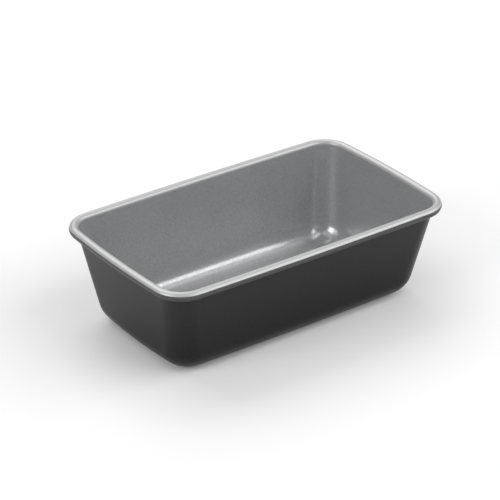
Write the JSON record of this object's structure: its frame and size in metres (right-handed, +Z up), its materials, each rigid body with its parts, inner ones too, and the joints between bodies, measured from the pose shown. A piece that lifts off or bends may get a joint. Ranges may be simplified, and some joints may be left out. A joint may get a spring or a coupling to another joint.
{
  "type": "loaf pan",
  "caption": "Rectangular loaf pan with flared walls, rounded corners and a curled rim, light grey non-stick inside and dark grey outside, for baking bread and cakes.",
  "frame": {"origin": "middle of the underside of the base, on the surface that the pan stands on", "axes": "+X along the pan's length, +Y across its width, +Z up out of its open top"},
  "size_m": [0.25, 0.1488, 0.0762],
  "materials": {
    "pan_steel": "aluminised steel sheet, satin, hidden under the coatings",
    "light_nonstick": "light grey metallic non-stick coating, satin, with fine bright speckle",
    "dark_nonstick": "charcoal grey metallic non-stick coating, satin, with fine speckle",
    "wire_steel": "drawn steel wire, hidden in the curled rim"
  },
  "bodies": {
    "root": {"pan_shell": "pan_steel", "inside_coating": "light_nonstick", "outside_coating": "dark_nonstick", "rim_wire": "wire_steel"}
  },
  "joints": []
}
